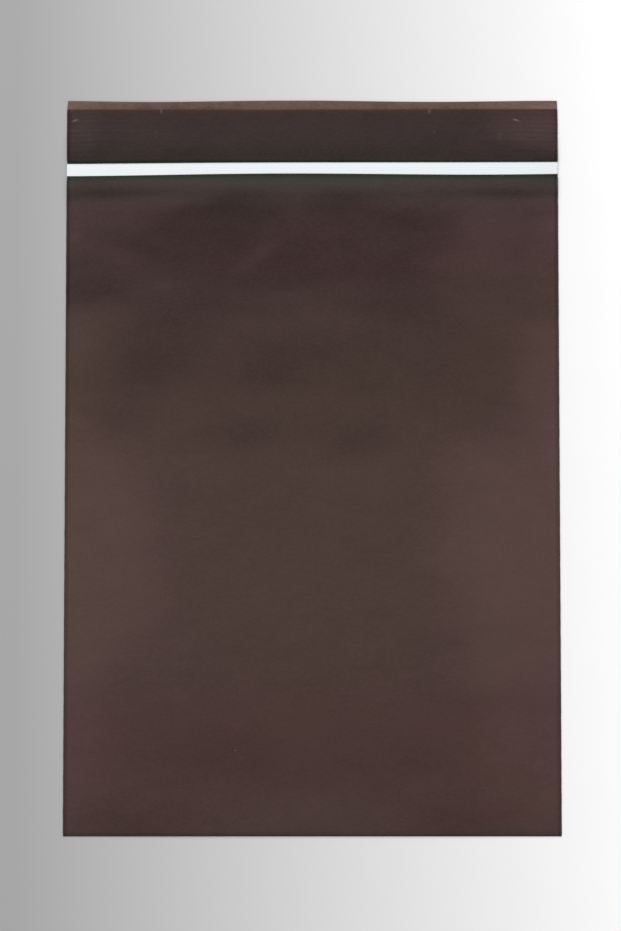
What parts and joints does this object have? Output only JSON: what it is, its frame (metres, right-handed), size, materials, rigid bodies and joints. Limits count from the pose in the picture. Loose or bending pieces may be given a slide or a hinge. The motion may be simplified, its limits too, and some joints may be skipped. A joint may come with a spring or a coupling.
{
  "type": "zipper bag",
  "caption": "Flat empty bag of dark brown plastic film, folded at the bottom and welded at the sides, pressed shut by a white zipper under two lips.",
  "frame": {"origin": "middle of the rear panel, on the surface that the bag lies on", "axes": "+Y along the bag from the bottom fold to the mouth, +X across it, +Z out of the front panel, upwards as it lies"},
  "size_m": [0.2032, 0.3556, 0.0026],
  "materials": {
    "body_film": "satin, softly uneven",
    "lip_film": "satin, finely ribbed",
    "white_track": "smooth, fine extrusion lines",
    "hidden_track": "smooth"
  },
  "bodies": {
    "root": {"bag_body": "body_film", "front_lip": "lip_film", "zipper_front_track": "white_track", "zipper_rear_track": "hidden_track"}
  },
  "joints": []
}
